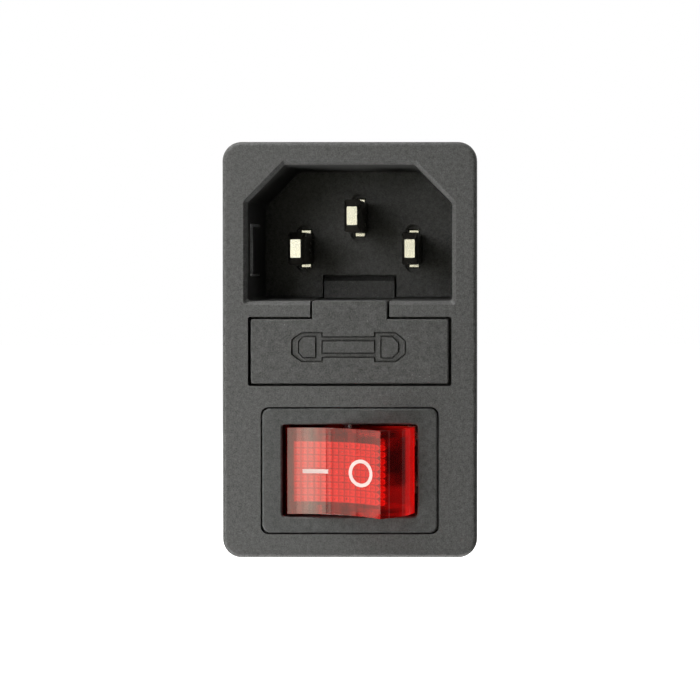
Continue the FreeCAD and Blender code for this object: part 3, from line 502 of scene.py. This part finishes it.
def printed(name, rows):
    """A thin layer of ink on the concave top. rows is a grid of (u, z) points; closed round if the last row is the first."""
    b = Mesh()
    up, dn = 0.022, 0.004
    lift = lambda p, h: (p[0], top_v(p[0]) + h, p[1])
    closed = rows[0] == rows[-1]
    for r0, r1 in zip(rows, rows[1:]):
        for p0, p1, q1, q0 in zip(r0, r0[1:], r1[1:], r1):
            b.face([lift(p, up) for p in (p0, p1, q1, q0)])
            b.face([lift(p, dn) for p in (p0, p1, q1, q0)])
        for e in (0, -1):
            b.face([lift(r0[e], up), lift(r1[e], up), lift(r1[e], dn), lift(r0[e], dn)])
    if not closed:
        for r in (rows[0], rows[-1]):
            for p, q in zip(r, r[1:]):
                b.face([lift(p, up), lift(q, up), lift(q, dn), lift(p, dn)])
    o = b.finish(name, [M["mark_ink"]], 40)
    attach(o, "rocker_group")
    return o


bar = [[(-4.37 + 3.05 * i / 16, -0.04 + 0.49 * (j / 4 - 0.5)) for j in range(5)] for i in range(17)]
mark_on = printed("mark_on", bar)
ring = []
for i in range(72):
    a = 2 * math.pi * i / 72
    ring.append([(3.10 + r * math.cos(a), -0.04 + 0.955 * r * math.sin(a)) for r in (1.27, 1.38, 1.495, 1.61, 1.72)])
ring.append(ring[0])
mark_off = printed("mark_off", ring)

# ------------------------------------------------------------------ stage
me = bpy.data.meshes.new("floor")
half = 1.4
me.from_pydata([(-half, -half, -0.075), (half, -half, -0.075), (half, half, -0.075), (-half, half, -0.075)], [], [(0, 1, 2, 3)])
floor = bpy.data.objects.new("floor", me)
scene.collection.objects.link(floor)
m, nt, b = new_material("pale_floor")
b.inputs["Base Color"].default_value = (0.9, 0.9, 0.9, 1)
b.inputs["Roughness"].default_value = 0.9
b.inputs["Emission Color"].default_value = (1, 1, 1, 1)
b.inputs["Emission Strength"].default_value = 1.0
me.materials.append(m)
for flag in ("visible_diffuse", "visible_glossy", "visible_transmission", "visible_shadow"):
    setattr(floor, flag, False)

world = bpy.data.worlds.new("studio")
scene.world = world
world.use_nodes = True
nt = world.node_tree
bg = nt.nodes["Background"]
bg.inputs[0].default_value = (1, 1, 1, 1)
WORLD = 0.01
path = nt.nodes.new("ShaderNodeLightPath")
mixer = node(nt, "ShaderNodeMapRange", Value=path.outputs["Is Camera Ray"], i1=0.0, i2=1.0, i3=WORLD, i4=1.0)
nt.links.new(mixer.outputs[0], bg.inputs[1])

# ------------------------------------------------------------------ lights: soft boxes round the front
AIM = Vector((0, FRONT * MM, 0))


def softbox(name, azimuth, elevation, distance, width, height, radiance, aim=AIM):
    """A rectangle that faces the part. Azimuth is to the right of the front axis, degrees; radiance is its brightness."""
    a, e = math.radians(azimuth), math.radians(elevation)
    away = Vector((math.sin(a) * math.cos(e), -math.cos(a) * math.cos(e), math.sin(e)))
    data = bpy.data.lights.new(name, "AREA")
    data.shape = "RECTANGLE"
    data.size, data.size_y = width, height
    data.energy = radiance * math.pi * width * height
    data.color = (1.0, 0.99, 0.82) if distance > 0.9 else (1.0, 1.0, 0.985)      # the far panels are a little warm
    o = bpy.data.objects.new(name, data)
    o.location = aim + away * distance
    o.rotation_mode = "QUATERNION"
    o.rotation_quaternion = (-away).to_track_quat("-Z", "Y")
    scene.collection.objects.link(o)
    return o


LIGHTS = [
    ("strip_a", 6.6, -7.8, 1.20, 0.138, 0.085, 1.2),
    ("strip_b", -0.2, -7.8, 1.20, 0.148, 0.085, 1.3),
    ("strip_c", -6.8, -7.8, 1.20, 0.128, 0.085, 1.9),
    ("strip_d", -13.9, -7.8, 1.20, 0.169, 0.085, 2.35),
    ("strip_e", -21.0, -7.8, 1.20, 0.128, 0.085, 2.05),
    ("strip_f", -28.3, -7.8, 1.20, 0.180, 0.085, 1.63),
    ("strip_g", -34.6, -7.8, 1.20, 0.060, 0.085, 0.9),
    ("strip_h", -37.9, -7.8, 1.20, 0.085, 0.085, 0.58),
    ("low_left_a", -52.4, -7.8, 1.00, 0.45, 0.075, 0.75),
    ("low_left_b", -81.2, -7.8, 1.00, 0.56, 0.075, 0.66),
    ("pin_front", -4.5, 1, 1.20, 0.42, 0.17, 1.85),
    ("key_top_left", -60, 58, 0.26, 0.12, 0.12, 15.0),
    ("front_left", -26, 15, 0.26, 0.09, 0.12, 6.0),
    ("fill_right", 58, 26, 0.30, 0.16, 0.14, 0.65),
    ("left_mid", -64, 5, 0.19, 0.09, 0.045, 1.0),
    ("left_down", -50, -36, 0.20, 0.09, 0.09, 14.0),
    ("rim_top", -20, 84, 0.26, 0.34, 0.20, 0.70),
    ("rim_top_back", 165, 66, 0.30, 0.34, 0.20, 0.55),
    ("rim_bottom", -20, -84, 0.26, 0.24, 0.10, 2.4),
    ("rim_bottom_back", 160, -84, 0.26, 0.24, 0.10, 8.0),
    ("rim_left_hi", -88, 26, 0.26, 0.06, 0.12, 3.0),
    ("rim_left_lo", -88, -34, 0.26, 0.06, 0.12, 1.0),
    ("back_mid", 180, 8, 0.60, 0.60, 0.50, 0.8),
    ("back_left", -128, 10, 0.50, 0.45, 0.50, 1.4),
    ("back_right", 128, 10, 0.50, 0.45, 0.50, 1.4),
    ("back_top", 180, 62, 0.50, 0.40, 0.26, 0.6),
    ("back_low", 180, -50, 0.50, 0.50, 0.30, 0.7),
    ("side_right", 104, 42, 0.45, 0.24, 0.20, 1.2),
]
for spec in LIGHTS:
    softbox(*spec)

# ------------------------------------------------------------------ camera
DIST = 207.0
cam_data = bpy.data.cameras.new("camera")
cam = bpy.data.objects.new("camera", cam_data)
scene.collection.objects.link(cam)
scene.camera = cam
# the picture plane is all but parallel to the flange, so most of the framing is a shift and the rest a slight turn
CAM_X, CAM_Z, FRAME_W = 16.5, 11.7, 83.96
TURN_X, TURN_Z = 0.0, 0.15                             # part of each offset that is taken up by turning
cam.location = Vector((CAM_X, FRONT - DIST, CAM_Z)) * MM
cam.rotation_mode = "QUATERNION"
cam.rotation_quaternion = Vector((-TURN_X * CAM_X, DIST, -TURN_Z * CAM_Z)).to_track_quat("-Z", "Y")
cam_data.sensor_width = 36.0
cam_data.lens = 36.0 * DIST / FRAME_W
cam_data.shift_x = -((1 - TURN_X) * CAM_X - 0.05) / FRAME_W
cam_data.shift_y = -((1 - TURN_Z) * CAM_Z - 0.02) / FRAME_W
cam_data.clip_start, cam_data.clip_end = 0.01, 20.0
